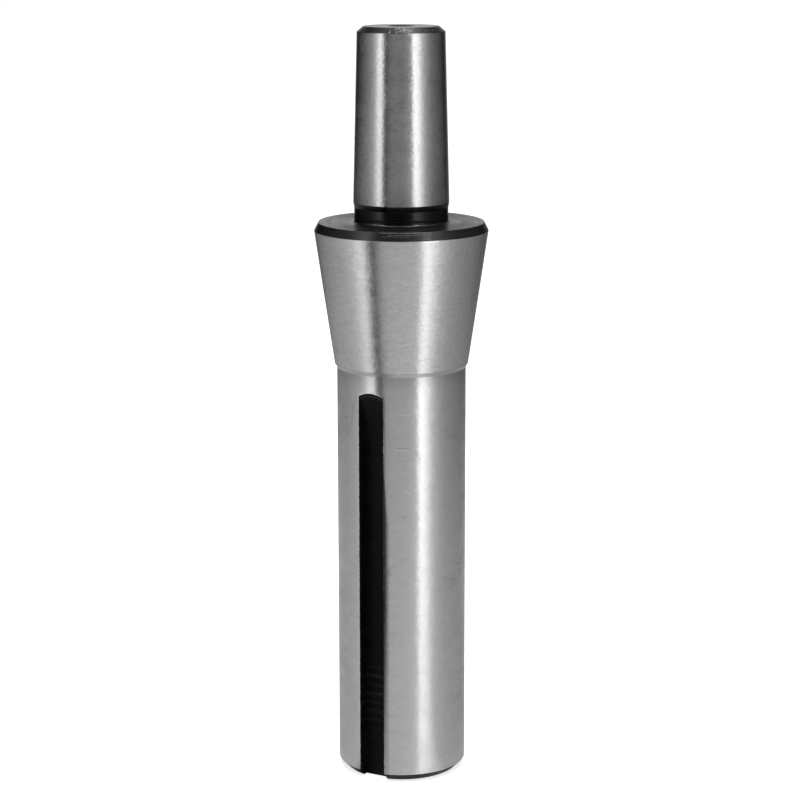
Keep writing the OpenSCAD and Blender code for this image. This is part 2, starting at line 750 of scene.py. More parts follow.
@dataclass(frozen=True)
class KeyedShank:
    """The lower shank: its end face, bevel and cylinder, with the milled keyway let into them."""

    sizes: ArborSizes
    around: Around
    hold: float
    face: Stretch
    bevel: Stretch
    shank: Stretch
    edge_break: float = 0.05 * MM
    edge_fade: float = 2 * MM
    torn_z: float = 25 * MM
    torn_spread: float = 11 * MM
    chatter_pitch: float = 1.9 * MM
    chatter_depth: float = 0.012 * MM
    row_step: float = 0.42 * MM
    face_rows: int = 5
    wall_rows: int = 4

    def ragged(self, z: float, side: int) -> float:
        """How far the keyway's edge wanders, as milled and left unbroken.

        Args:
            z: height in metres.
            side: -1 for the left edge, which is torn in one place, and 1 for the right one.

        Returns:
            The wander in metres.
        """
        seed = side * 5.0
        torn = math.exp(-(((z - self.torn_z) / self.torn_spread) ** 2)) if side < 0 else 0.15
        fine = noise.noise(Vector((seed, z / (0.9 * MM), 0.0)))
        slow = noise.noise(Vector((seed, z / (4.0 * MM), 7.0)))
        return (0.05 * slow + 0.13 * torn * fine) * MM

    def chatter(self, x: float, z: float) -> float:
        """Height of the cutter's marks on the keyway's floor.

        Args:
            x: distance from the slot's middle.
            z: height in metres.

        Returns:
            The height of the mark in metres.
        """
        slow = noise.noise(Vector((x / (9 * MM), z / (6 * MM), 3.0)))
        wave = math.sin(FULL_TURN * (z / self.chatter_pitch + 0.6 * slow))
        return self.chatter_depth * wave * (0.6 + slow)

    def slot_half(self, z: float, side: int) -> float:
        """Half width of the keyway at a height on one side, with the wander of its edge."""
        reach = faded(z, self.edge_fade) * faded(self.sizes.key_corner_z - z, self.edge_fade)
        return self.sizes.key_half + reach * self.ragged(z, side)

    def broken(self, z: float, side: int) -> float:
        """Size of the small break on the keyway's edge at a height.

        Args:
            z: height in metres.
            side: -1 for the left edge and 1 for the right one.

        Returns:
            The size in metres.
        """
        low = faded(z - self.sizes.end_bevel, 0.6 * MM)
        high = faded(self.sizes.key_corner_z - z, 1.5 * MM)
        worn = 1.0 + 0.5 * noise.noise(Vector((side * 3.0, z / (1.4 * MM), 11.0)))
        return self.edge_break * low * high * worn

    def bevel_rows(self) -> list[Point]:
        """Radius and height of the rows from the flat's edge to the top of the bevel."""
        return [p for p in self.face.points if p[1] > 0] + list(self.bevel.points[1:-1])

    def shank_rows(self) -> list[Point]:
        """Rows up the cylinder, with rows exactly at the run-out's start and at its side corners.

        Returns:
            Radius and height of each row, the rounded edges at both ends included.
        """
        sizes = self.sizes
        low = [p for p in self.shank.points if p[1] < sizes.end_bevel + self.hold]
        high = [p for p in self.shank.points if p[1] > sizes.shank_top - 1.5 * self.hold]
        first, last = sizes.end_bevel + 2 * self.hold, sizes.shank_top - 2 * self.hold
        rows: list[float] = []
        for start, end in pairwise((first, sizes.floor_z, sizes.key_corner_z, last)):
            count = max(2, round((end - start) / self.row_step))
            rows.extend(np.linspace(start, end, count, endpoint=False))
        return [*low, *((sizes.shank_r, z) for z in (*rows, last)), *high]

    @property
    def flat_rim(self) -> float:
        """Radius of the end face's flat, which the outline's rounded edge leaves."""
        return self.sizes.shank_r - self.sizes.end_bevel - EDGE_EASE * math.tan(math.radians(45) / 2)

    @property
    def rings(self) -> np.ndarray:
        """Radii of the end face's outer rings, from the keyway's floor corner to the flat's edge."""
        inner = math.hypot(self.sizes.floor_r, self.sizes.key_half)
        return np.linspace(inner, self.flat_rim, self.wall_rows + 1)

    @property
    def key_line(self) -> np.ndarray:
        """Places of the columns across the keyway."""
        return self.sizes.shank_r * np.sin(self.around.key_angles)

    def face_line(self) -> np.ndarray:
        """The keyway floor's edge on the end face, from left to right."""
        x = self.key_line
        return np.stack([x, np.full_like(x, -self.sizes.floor_r), np.zeros_like(x)], axis=-1)

    def floor_row(self, z: float) -> list[Place]:
        """Points across the keyway's floor.

        Args:
            z: height of the row at the walls.

        Returns:
            The row's points, stretched upwards in the run-out so that its last row is the arch.
        """
        sizes = self.sizes
        span = sizes.key_corner_z - sizes.floor_z
        fade = faded(sizes.key_corner_z - z, 4 * MM) * faded(z, MM)
        row = []
        for x in self.key_line:
            stretch = (sizes.arch_z(x) - sizes.floor_z) / span - 1.0
            height = z + max(z - sizes.floor_z, 0.0) * stretch
            row.append((x, sizes.floor_y(height) + self.chatter(x, height) * fade, height))
        for end, side in ((0, -1), (-1, 1)):
            height = row[end][2]
            row[end] = (side * self.slot_half(z, side), sizes.floor_y(height), height)
        return row

    def edge_pair(self, r: float, z: float) -> tuple[Vector, Vector]:
        """Finds where a row meets the breaks of the slot's edges.

        Args:
            r: radius of the row.
            z: height of the row.

        Returns:
            The left and the right point.
        """
        pair = []
        for side in (-1, 1):
            angle = self.around.half_angle
            if z < self.sizes.key_corner_z - WELD:
                angle = math.asin(min(self.slot_half(z, side) / r, 1.0)) + self.broken(z, side) / r
            pair.append(Vector(turned(r, side * angle, z)))
        return pair[0], pair[1]

    def rest_row(self, r: float, z: float, left: Vector, right: Vector) -> list[Place]:
        """Points of a row round the rest of the shank.

        Args:
            r: radius of the row.
            z: height of the row.
            left: point where the row ends, left of the slot.
            right: point where it starts, right of the slot.

        Returns:
            The row's points.
        """
        first = math.atan2(right.x, -right.y)
        last = FULL_TURN + math.atan2(left.x, -left.y)
        angles = np.linspace(first, last, self.around.rest_steps + 1)
        return [tuple(right), *(turned(r, a, z) for a in angles[1:-1]), tuple(left)]

    def notched(self, r: float) -> list[Place]:
        """A ring of the end face at a radius, which stops at the keyway's plain walls."""
        x, y = self.sizes.key_half, -math.sqrt(r * r - self.sizes.key_half**2)
        return self.rest_row(r, 0.0, Vector((-x, y, 0)), Vector((x, y, 0)))

    def build_end_face(self, skin: Skin) -> None:
        """Adds the flat end face with the keyway's notch in it.

        Args:
            skin: the skin to add to.
        """
        mouth_r = self.sizes.mouth_r
        ring = np.array([turned(mouth_r, a, 0.0) for a in self.around.key_angles])
        line = self.face_line()
        shares = np.linspace(0.0, 1.0, self.face_rows + 1)
        sector = [ring + s * (line - ring) for s in shares]
        rest = []
        for s, row in zip(shares, sector, strict=True):
            r = mouth_r + s * (self.rings[0] - mouth_r)
            rest.append(self.rest_row(r, 0.0, Vector(row[0]), Vector(row[-1])))
        skin.add_patch(sector, Zone.END_FACE)
        skin.add_patch([*rest, *(self.notched(r) for r in self.rings[1:])], Zone.END_FACE)

    def build_rest(self, skin: Skin, bevel: list[Point], shank: list[Point]) -> None:
        """Adds the bevel and the cylinder outside the keyway's sector.

        Args:
            skin: the skin to add to.
            bevel: rows of the bevel.
            shank: rows of the cylinder.
        """
        low = [self.rest_row(r, z, *self.edge_pair(r, z)) for r, z in bevel]
        high = [self.rest_row(r, z, *self.edge_pair(r, z)) for r, z in shank]
        skin.add_patch([self.notched(self.flat_rim), *low, high[0]], Zone.END_BEVEL)
        skin.add_patch(high, Zone.SHANK)

    def build_slot(self, skin: Skin, rows: list[Point]) -> None:
        """Adds the keyway's floor, its run-out, its walls and the breaks of its edges.

        Args:
            skin: the skin to add to.
            rows: the rows up to the run-out's corners.
        """
        mouths = np.sqrt(self.rings**2 - self.sizes.key_half**2)
        shares = (mouths - mouths[0]) / (mouths[-1] - mouths[0])
        floor = [self.face_line(), *(self.floor_row(z) for _, z in rows)]
        skin.add_patch(floor, Zone.KEYWAY)
        for side, end in ((-1, 0), (1, -1)):
            x = side * self.sizes.key_half
            wall = [[(x, -y, 0.0) for y in mouths]]
            edge = [[(x, -mouths[-1], 0.0)] * 4]
            for (r, z), across in zip(rows, floor[1:], strict=True):
                half = self.slot_half(z, side)
                corner = Vector((side * half, -math.sqrt(r * r - half * half), z))
                deep = corner + Vector((0.0, self.broken(z, side), 0.0))
                out = self.edge_pair(r, z)[end]
                wall.append([Vector(across[end]).lerp(deep, s) for s in shares])
                curve = [deep.lerp(corner, t).lerp(corner.lerp(out, t), t) for t in (0.0, 1 / 3, 2 / 3, 1.0)]
                edge.append(curve)
            skin.add_patch(wall, Zone.KEYWAY)
            skin.add_patch(edge, Zone.SHANK)

    def build_above(self, skin: Skin, rows: list[Point]) -> None:
        """Adds the shank's surface between the keyway's arch and the step.

        Args:
            skin: the skin to add to.
            rows: the rows from the run-out's corners up.
        """
        top = rows[-1][1]
        arches = [(a, self.sizes.arch_z(self.sizes.shank_r * math.sin(a))) for a in self.around.key_angles]
        patch = []
        for r, z in rows:
            share = (top - z) / (top - self.sizes.key_corner_z)
            patch.append([turned(r, a, top - (top - arch) * share) for a, arch in arches])
        skin.add_patch(patch, Zone.SHANK)

    def build(self, skin: Skin) -> None:
        """Adds the end face, the bevel, the cylinder and the keyway.

        Args:
            skin: the skin to add to.
        """
        bevel, shank = self.bevel_rows(), self.shank_rows()
        corner_z = self.sizes.key_corner_z
        self.build_end_face(skin)
        self.build_rest(skin, bevel, shank)
        self.build_slot(skin, [row for row in bevel + shank if row[1] <= corner_z + WELD])
        self.build_above(skin, [row for row in shank if row[1] >= corner_z - WELD])


@dataclass(frozen=True)
class Arbor:
    """The whole arbor, as one closed piece that stands for the CAD node."""

    sizes: ArborSizes
    around: Around
    name: str = "arbor_body"

    def outside(self) -> list[Corner]:
        """Corners of the half section from the drawbar mouth, up the outside, to the centre hole's point.

        Returns:
            The corners in order.
        """
        s = self.sizes
        pilot_z = s.top_z - (s.centre_r - s.pilot_r) / s.countersink_slope
        point_z = s.top_z - s.pilot_depth - s.pilot_r / math.tan(s.point_half_angle)
        return [
            Corner(s.mouth_r, 0.0, Zone.END_FACE),
            Corner(s.shank_r - s.end_bevel, 0.0, Zone.END_BEVEL, EDGE_EASE),
            Corner(s.shank_r, s.end_bevel, Zone.SHANK, EDGE_EASE),
            Corner(s.shank_r, s.shank_top, Zone.STEP, 0.15 * MM),
            Corner(s.seat_r, s.seat_z, Zone.CONE, EDGE_EASE),
            Corner(s.rim_r, s.rim_z, Zone.RIM_BEVEL, 0.02 * MM),
            Corner(s.face_r, s.face_z, Zone.FLANGE_FACE, EDGE_EASE),
            Corner(s.neck_r, s.face_z, Zone.NECK, s.neck_fillet),
            Corner(s.neck_r, s.nose_z - s.relief_h, Zone.NECK, 0.5 * MM),
            Corner(s.nose_r, s.nose_z, Zone.NOSE, 0.08 * MM),
            Corner(s.nose_end_r, s.top_z - s.nose_bevel_h, Zone.NOSE_BEVEL, EDGE_EASE),
            Corner(s.nose_end_r - s.nose_bevel_w, s.top_z, Zone.TOP_FACE, EDGE_EASE),
            Corner(s.centre_r, s.top_z, Zone.CENTRE_HOLE, 0.05 * MM),
            Corner(s.pilot_r, pilot_z, Zone.CENTRE_HOLE),
            Corner(s.pilot_r, s.top_z - s.pilot_depth, Zone.CENTRE_HOLE),
            Corner(0.0, point_z, Zone.CENTRE_HOLE),
        ]

    def drilled(self) -> list[Corner]:
        """Corners of the drawbar hole behind its thread.

        Returns:
            The corners in order.
        """
        s = self.sizes
        steps = ((s.tap_r, s.thread_depth), (s.tap_r, s.tap_depth), (0.0, s.tap_depth + self.point_len))
        return [Corner(r, z, Zone.BORE) for r, z in steps]

    @property
    def point_len(self) -> float:
        """Length of the drill's point at the bottom of the drawbar hole."""
        return self.sizes.tap_r / math.tan(self.sizes.point_half_angle)

    def common(self, material: Material) -> dict[str, object]:
        """Values of the inputs that both trees share."""
        steps = {"Steps": self.around.steps, "Key steps": self.around.key_steps}
        return steps | {"Half angle": self.around.half_angle, "Material": material}

    def thread(self, material: Material) -> Mesh:
        """Grows the drawbar thread with its countersunk mouth.

        Args:
            material: the thread's material.

        Returns:
            The mesh.
        """
        s = self.sizes
        values = self.common(material) | {
            "Crest radius": s.tap_r,
            "Root radius": s.thread_r,
            "Pitch": s.thread_pitch,
            "Depth": s.thread_depth,
            "Mouth radius": s.mouth_r,
            "Mouth slope": s.countersink_slope,
            "Fade": 2 * s.thread_pitch,
            "Rows in a turn": 8,
        }
        return grown("thread", [(s.tap_r, 0.0), (s.tap_r, s.thread_depth)], thread_tree(), values)

    def build(self, materials: dict[Zone, Material]) -> Object:
        """Grows every patch and welds them.

        Args:
            materials: material of each zone.

        Returns:
            The finished piece.
        """
        skin = Skin(materials)
        revolve = revolve_tree()
        rows = {Zone.CONE: 10, Zone.NOSE: 12, Zone.FLANGE_FACE: 4, Zone.TOP_FACE: 4, Zone.BORE: 6}
        outline = Outline(self.outside(), rows)
        outer = outline.stretches()
        KeyedShank(self.sizes, self.around, outline.hold, *outer[:3]).build(skin)
        for stretch in (*outer[3:], *Outline(self.drilled(), rows).stretches()):
            values = self.common(materials[stretch.zone])
            skin.add_mesh(grown(stretch.zone.name.lower(), stretch.points, revolve, values), stretch.zone)
        skin.add_mesh(self.thread(materials[Zone.THREAD]), Zone.THREAD)
        return skin.closed(self.name)


class Effect(Group):
    """A shader node group that several finishes share."""

    def __init__(self, name: str, inputs: dict[str, float], *outputs: str) -> None:
        """Starts the group.

        Args:
            name: name of the group.
            inputs: its inputs with their usual values.
            outputs: names of its outputs.
        """
        super().__init__(name, "ShaderNodeTree", inputs, dict.fromkeys(outputs, "Float"))
        self.place = self.coordinates()
        self.x, self.y, self.z = self.split(self.place)

    def shifted(self, size: float | Signal) -> Signal:
        """The place in units of a size, moved by the group's seed."""
        unit = size if isinstance(size, Signal) else (size, size, size)
        return self.vector("ADD", self.vector("DIVIDE", self.place, unit), self.given["Seed"])

    def torn(self, away: Signal, grain: float) -> Signal:
        """Marks what lies within the group's Width, with a border that breaks up.

        Args:
            away: distance from the middle of the mark.
            grain: size of the breaks in metres.

        Returns:
            The mask.
        """
        bitten = self.noise(self.shifted(grain), 3.0, 0.65).clamped(0.3, 0.7) * self.given["Ragged"]
        width = self.given["Width"] * (1.0 - bitten)
        return away.clamped(width, width * 0.35)


def line_effect() -> NodeTree:
    """Streaks that run round the axis, as grinding and turning leave them.

    Height is the streaks' height, Length how far one runs, and Axial says how much they follow each
    other up the axis rather than outwards on a face.

    Returns:
        The node group, with Fine and Broad streaks from 0 to 1.
    """
    inputs = {"Height": 0.25 * MM, "Length": 3 * MM, "Axial": 1.0, "Seed": 0.0}
    effect = Effect("turning_lines", inputs, "Fine", "Broad")
    height, length, axial, seed = (effect.given[label] for label in inputs)
    along = effect.z * axial + hypotenuse(effect.x, effect.y) * (1.0 - axial)
    for label, taller, longer in (("Fine", 1.0, 1.0), ("Broad", 5.0, 4.0)):
        run = length * longer
        spot = effect.joined(effect.x / run, effect.y / run + seed, along / (height * taller))
        effect.put(label, effect.noise(spot, 3.0, 0.6).clamped(0.25, 0.75))
    return effect.tree


def speck_effect() -> NodeTree:
    """Small pits and specks, thinly strewn.

    Returns:
        The node group, with a Mask that is 1 in a speck.
    """
    effect = Effect("specks", {"Cell": 5 * MM, "Size": 0.25 * MM, "Share": 0.3, "Seed": 0.0}, "Mask")
    given = effect.given
    links = {"Vector": effect.shifted(given["Cell"]), "Scale": 1.0}
    cells = effect.signals("ShaderNodeTexVoronoi", links, voronoi_dimensions="3D")
    chance, bulk, _ = effect.signals("ShaderNodeSeparateColor", {"Color": cells["Color"]}).values()
    size = given["Size"] / given["Cell"] * (bulk + 0.3)
    chosen = effect.math("LESS_THAN", chance, given["Share"])
    effect.put("Mask", cells["Distance"].clamped(size, size * 0.4) * chosen)
    return effect.tree


def scratch_effect() -> NodeTree:
    """Fine slanting scratches from handling, in loose clusters.

    Returns:
        The node group, with a Mask that is 1 along a scratch.
    """
    inputs = {"Length": 9 * MM, "Gap": 1.1 * MM, "Share": 0.4, "Seed": 0.0}
    effect = Effect("scratches", inputs, "Mask")
    length, gap, share, seed = (effect.given[label] for label in inputs)
    lines = []
    for number, tilt in enumerate((38.0, -52.0, 71.0)):
        angles = (math.radians(tilt), math.radians(tilt * 0.6), 0.5 * number)
        links = {"Vector": effect.place, "Rotation": angles}
        x, y, z = effect.split(effect.signal("ShaderNodeVectorRotate", links, rotation_type="EULER_XYZ"))
        moved = effect.vector("ADD", effect.joined(x / length, y / length, z / gap), seed)
        lines.append(abs(effect.noise(moved, 0.0) - 0.5).clamped(0.016, 0.004))
    limit = 0.75 - share * 0.5
    here = effect.noise(effect.shifted(length), 1.0).clamped(limit, limit + 0.12)
    effect.put("Mask", (lines[0] | lines[1] | lines[2]) * here)
    return effect.tree


def edge_effect() -> NodeTree:
    """Wear along one turned edge, which is a circle at a radius and a height.

    Returns:
        The node group, with a Mask that is 1 on the edge and breaks up away from it.
    """
    inputs = {"Edge radius": 0.01, "Edge height": 0.01, "Width": 0.2 * MM, "Ragged": 0.6, "Seed": 0.0}
    effect = Effect("edge_wear", inputs, "Mask")
    out = hypotenuse(effect.x, effect.y) - effect.given["Edge radius"]
    away = hypotenuse(out, effect.z - effect.given["Edge height"])
    effect.put("Mask", effect.torn(away, 1.2 * MM))
    return effect.tree


def mark_effect() -> NodeTree:
    """One scratch, nick, dark spot or painted highlight, from a point on the surface to another.

    Turn is an angle in radians from the keyway's middle towards +X, and Radius makes a length of it.

    Returns:
        The node group, with a Mask that is 1 on the mark and breaks up away from it.
    """
    inputs = {"Radius": 0.01, "Turn": 0.0, "Height": 0.0, "End turn": 0.0, "End height": 0.0}
    inputs |= {"Width": 0.1 * MM, "Ragged": 0.6, "Seed": 0.0}
    effect = Effect("mark", inputs, "Mask")
    radius, turn, height, end_turn, end_height, *_ = (effect.given[label] for label in inputs)
    here = effect.math("ARCTAN2", effect.x, effect.y * -1.0)
    spot = effect.joined((here - turn) * radius, effect.z - height)
    line = effect.joined((end_turn - turn) * radius, end_height - height)
    reach = effect.measure("DOT_PRODUCT", spot, line)
    share = (reach / (effect.measure("DOT_PRODUCT", line, line) | 1e-12)).clamped(0.0, 1.0)
    nearest = effect.vector("MULTIPLY", line, share)
    effect.put("Mask", effect.torn(effect.measure("DISTANCE", spot, nearest), 0.5 * MM))
    return effect.tree


@dataclass(frozen=True)
class Effects:
    """The node groups that the finishes share, each built once."""

    lines: NodeTree
    specks: NodeTree
    scratches: NodeTree
    edge: NodeTree
    mark: NodeTree

    @classmethod
    def built(cls) -> "Effects":
        """Builds the groups."""
        return cls(line_effect(), speck_effect(), scratch_effect(), edge_effect(), mark_effect())


@dataclass(frozen=True)
class Edge:
    """A turned edge that is worn, darkened or dulled: its circle and the width of the mark."""

    r: float
    z: float
    width: float


@dataclass(frozen=True)
class Mark:
    """A scratch, nick, dark spot or painted highlight: degrees from the keyway's middle, height, width, and
    where it ends.
    """

    turn: float
    z: float
    width: float
    end_turn: float
    end_z: float


@dataclass(frozen=True)
class Swing:
    """How far fine streaks, smudges and broad streaks carry a value to both sides of its middle."""

    fine: float
    smudge: float
    broad: float = 0.0


def marks(base: float, *rows: tuple[float, ...]) -> tuple[Mark, ...]:
    """Reads marks from rows in degrees and millimetres.

    Args:
        base: height in metres that the rows' heights are counted from.
        rows: turn, height and width of each mark, and the turn and height of its end unless it is a spot.

    Returns:
        The marks.
    """
    read = []
    for turn, z, width, *end in rows:
        end_turn, end_z = end or (turn, z)
        read.append(Mark(turn, base + z * MM, width * MM, end_turn, base + end_z * MM))
    return tuple(read)


class Coat(Graph):
    """A material with one Principled shader, to which a finish links its maps."""

    def __init__(self, name: str, effects: Effects, **values: float) -> None:
        """Starts the material.

        Args:
            name: name of the material.
            effects: the shared node groups.
            values: plain values of the shader's sockets, with _ for a space in the name.
        """
        self.material = bpy.data.materials.new(name)
        self.material.use_nodes = True
        super().__init__(self.material.node_tree)
        self.effects = effects
        self.shader = self.tree.nodes["Principled BSDF"]
        self.place = self.coordinates()
        for label, value in values.items():
            self.link(label.replace("_", " "), value)

    def link(self, label: str, value: Operand) -> None:
        """Gives one of the shader's inputs a map or a plain value."""
        self.feed(self.shader.inputs[label], value)

    def effect(self, tree: NodeTree, **values: float) -> dict[str, Signal]:
        """Places a shared group, whose inputs are written with _ for a space, and gives its outputs."""
        links = {label.replace("_", " "): value for label, value in values.items()}
        return self.signals("ShaderNodeGroup", links, node_tree=tree)

    def draw_out(self, amount: float) -> None:
        """Draws the shine out up and down, across lines that run round the axis.

        Args:
            amount: how far it is drawn out, from 0 to 1.
        """
        self.link("Anisotropic", amount)
        self.link("Anisotropic Rotation", 0.25)
        self.link("Tangent", self.signal("ShaderNodeTangent", direction_type="RADIAL", axis="Z"))

    def cloud(self, size: float, detail: float = 2.0, shift: float = 0.0) -> Signal:
        """Soft, even noise with spots of a size in metres, from 0 to 1."""
        links = {"Vector": self.place, "Scale": (1 / size,) * 3, "Location": (shift,) * 3}
        return self.noise(self.signal("ShaderNodeMapping", links), detail).clamped(0.25, 0.75)

    def united(self, masks: Iterable[Signal]) -> Operand:
        """Unites masks.

        Args:
            masks: any number of masks.

        Returns:
            The mask of all of them, or 0 where there are none.
        """
        whole: Operand = 0.0
        for number, mask in enumerate(masks):
            whole = whole | mask if number else mask
        return whole

    def worn(self, edges: tuple[Edge, ...], ragged: float = 0.6) -> Operand:
        """Mask of all given edges.

        Args:
            edges: the edges.
            ragged: how much their borders break up, from 0 to 1.

        Returns:
            The mask, or 0 where there are none.
        """
        made = []
        for number, edge in enumerate(edges):
            values = {"Edge_radius": edge.r, "Edge_height": edge.z, "Width": edge.width, "Ragged": ragged}
            made.append(self.effect(self.effects.edge, Seed=3.7 * number, **values)["Mask"])
        return self.united(made)

    def marked(self, given: tuple[Mark, ...], radius: float, ragged: float = 0.6) -> Operand:
        """Mask of all given marks.

        Args:
            given: the scratches, nicks, dark spots or painted highlights.
            radius: radius of the surface they lie on, in metres.
            ragged: how much their borders break up, from 0 to 1.

        Returns:
            The mask, or 0 where there are none.
        """
        made = []
        for number, mark in enumerate(given):
            values = {"Turn": math.radians(mark.turn), "Height": mark.z, "Width": mark.width}
            values |= {"End_turn": math.radians(mark.end_turn), "End_height": mark.end_z}
            values |= {"Radius": radius, "Ragged": ragged}
            made.append(self.effect(self.effects.mark, Seed=2.3 * number, **values)["Mask"])
        return self.united(made)

    def swung(self, middle: float, swing: Swing, lines: dict[str, Signal], smudge: Signal) -> Signal:
        """Lets streaks and smudges carry a value to both sides of its middle.

        Args:
            middle: the value where each map is 0.5.
            swing: the strengths of the maps.
            lines: fine and broad streaks.
            smudge: soft smudges.

        Returns:
            The value with its swings.
        """
        total = (lines["Fine"] - 0.5) * swing.fine + middle
        if swing.broad:
            total = total + (lines["Broad"] - 0.5) * swing.broad
        return total + (smudge - 0.5) * swing.smudge

    def raised(self, height: Signal, depth: float) -> None:
        """Feeds a height map to the shader's normal through a Bump node of a depth in metres."""
        links = {"Height": height, "Strength": 1.0, "Distance": depth}
        self.link("Normal", self.signal("ShaderNodeBump", links))


@dataclass(frozen=True)
class SlotRimAndPaintedReflection:
    """The dark rim round the keyway, and a painted dark reflection: the grey strip on its right that narrows
    to nothing at its top.
    """

    half: float
    top: float
    rim_wander: float = 0.16 * MM
    rim_soft: float = 0.03 * MM
    rim_dark: float = 0.85
    strip_width: float = 1.1 * MM
    strip_from: float = 62 * MM
    strip_full: float = 50 * MM
    foot: tuple[float, float] = (4 * MM, 34 * MM)
    foot_dark: tuple[float, float] = (0.32, 0.82)

    def mask(self, coat: Coat, seed: float) -> Signal:
        """Lays the dark rim along the slot and the painted dark reflection beside it.

        Args:
            coat: the material.
            seed: shifts the noise of its borders.

        Returns:
            How dark the rim and the painted reflection are, from 0 to 1.
        """
        x, y, z = coat.split(coat.place)
        ragged = coat.cloud(0.5 * MM, 3.0, seed)
        off = abs(abs(x) - self.half) - ragged * self.rim_wander
        rim = off.clamped(self.rim_soft, -self.rim_soft, 0.0, self.rim_dark) * (z < self.top)
        # Painted dark reflection: a grey strip right of the keyway, full width below strip_full and gone
        # above strip_from.
        width = z.clamped(self.strip_from, self.strip_full, 0.0, self.strip_width) | 0.05 * MM
        share = abs(x - self.half) / width + ragged * 0.1
        dark = z.clamped(*self.foot, *self.foot_dark) * (z < self.strip_from)
        strip = share.clamped(1.1, 0.4) * dark
        return (rim | strip) * (y < 0.0) * (x > -self.half - MM)


@dataclass(frozen=True)
class GroundSteel:
    """Hardened steel, ground round the axis: a satin shine drawn out up and down."""

    name: str
    seed: float
    radius: float
    tone: float
    rough: float
    line_height: float = 0.36 * MM
    line_length: float = 1.3 * MM
    line_depth: float = 0.006 * MM
    grain_height: float = 0.5 * MM
    grain_length: float = 0.9 * MM
    grain_depth: float = 0.016 * MM
    grain_tone: float = 0.12
    ripple_size: float = 2.4 * MM
    ripple_depth: float = 0.02 * MM
    darkened: tuple[Edge, ...] = ()
    scored_and_highlit: tuple[Mark, ...] = ()
    spotted: tuple[Mark, ...] = ()
    shaded: tuple[float, float] | None = None
    slot: SlotRimAndPaintedReflection | None = None
    speck_dark: float = 0.45
    darkening: float = 0.3
    spot_dark: float = 0.4
    scratch_and_highlight_bright: float = 0.16
    shade_dark: float = 0.22
    tone_swing: Swing = Swing(0.03, 0.07, 0.06)
    rough_swing: Swing = Swing(0.05, 0.06, 0.08)
    scratch_bright: float = 0.05
    scratch_rough: float = 0.12
    scratch_cut: float = 0.06

    def coloured(self, coat: Coat, tone: Signal) -> Signal:
        """Puts scratches, painted highlights, spots, darkened edges, the keyway's dark rim with a painted
        dark reflection beside it, and painted shade on the steel's own tone.

        Args:
            coat: the material.
            tone: the clean steel's tone.

        Returns:
            The tone with its marks.
        """
        specks = coat.effect(coat.effects.specks, Seed=self.seed, Cell=6 * MM, Share=0.15)["Mask"]
        dark = specks * self.speck_dark | coat.worn(self.darkened, 0.9) * self.darkening
        dark = dark | coat.marked(self.spotted, self.radius, 0.9) * self.spot_dark
        # Scratches, and on the cone a painted highlight under the rim, brighten the tone.
        tone = (tone + coat.marked(self.scored_and_highlit, self.radius) * self.scratch_and_highlight_bright) * (1.0 - dark)
        # Dark rim along the keyway, and the painted dark reflection beside it.
        if self.slot:
            tone = tone * (1.0 - self.slot.mask(coat, self.seed + 2))
        if self.shaded:
            height = coat.split(coat.place)[2]
            tone = tone * (1.0 - height.clamped(*self.shaded) ** 2.0 * self.shade_dark)
        return tone

    def build(self, effects: Effects) -> Material:
        """Makes the material.

        Args:
            effects: the shared node groups.

        Returns:
            The material.
        """
        coat = Coat(self.name, effects, Metallic=1.0)
        coat.draw_out(1.0)
        lines = coat.effect(effects.lines, Seed=self.seed, Height=self.line_height, Length=self.line_length)
        sizes = {"Height": self.grain_height, "Length": self.grain_length}
        grain = coat.effect(effects.lines, Seed=self.seed + 5, **sizes)["Fine"]
        scratches = coat.effect(effects.scratches, Seed=self.seed)["Mask"]
        smudge = coat.cloud(4 * MM, 3.0, self.seed)
        tone = coat.swung(self.tone, self.tone_swing, lines, smudge) + (grain - 0.5) * self.grain_tone
        coat.link("Base Color", self.coloured(coat, tone) + scratches * self.scratch_bright)
        rough = coat.swung(self.rough, self.rough_swing, lines, smudge)
        coat.link("Roughness", rough + scratches * self.scratch_rough)
        cut = lines["Fine"] * (self.line_depth / self.grain_depth) - scratches * self.scratch_cut
        height = grain + cut
        ripple = coat.cloud(self.ripple_size, 2.0, self.seed + 1)
        coat.raised(height + ripple * (self.ripple_depth / self.grain_depth), self.grain_depth)
        return coat.material


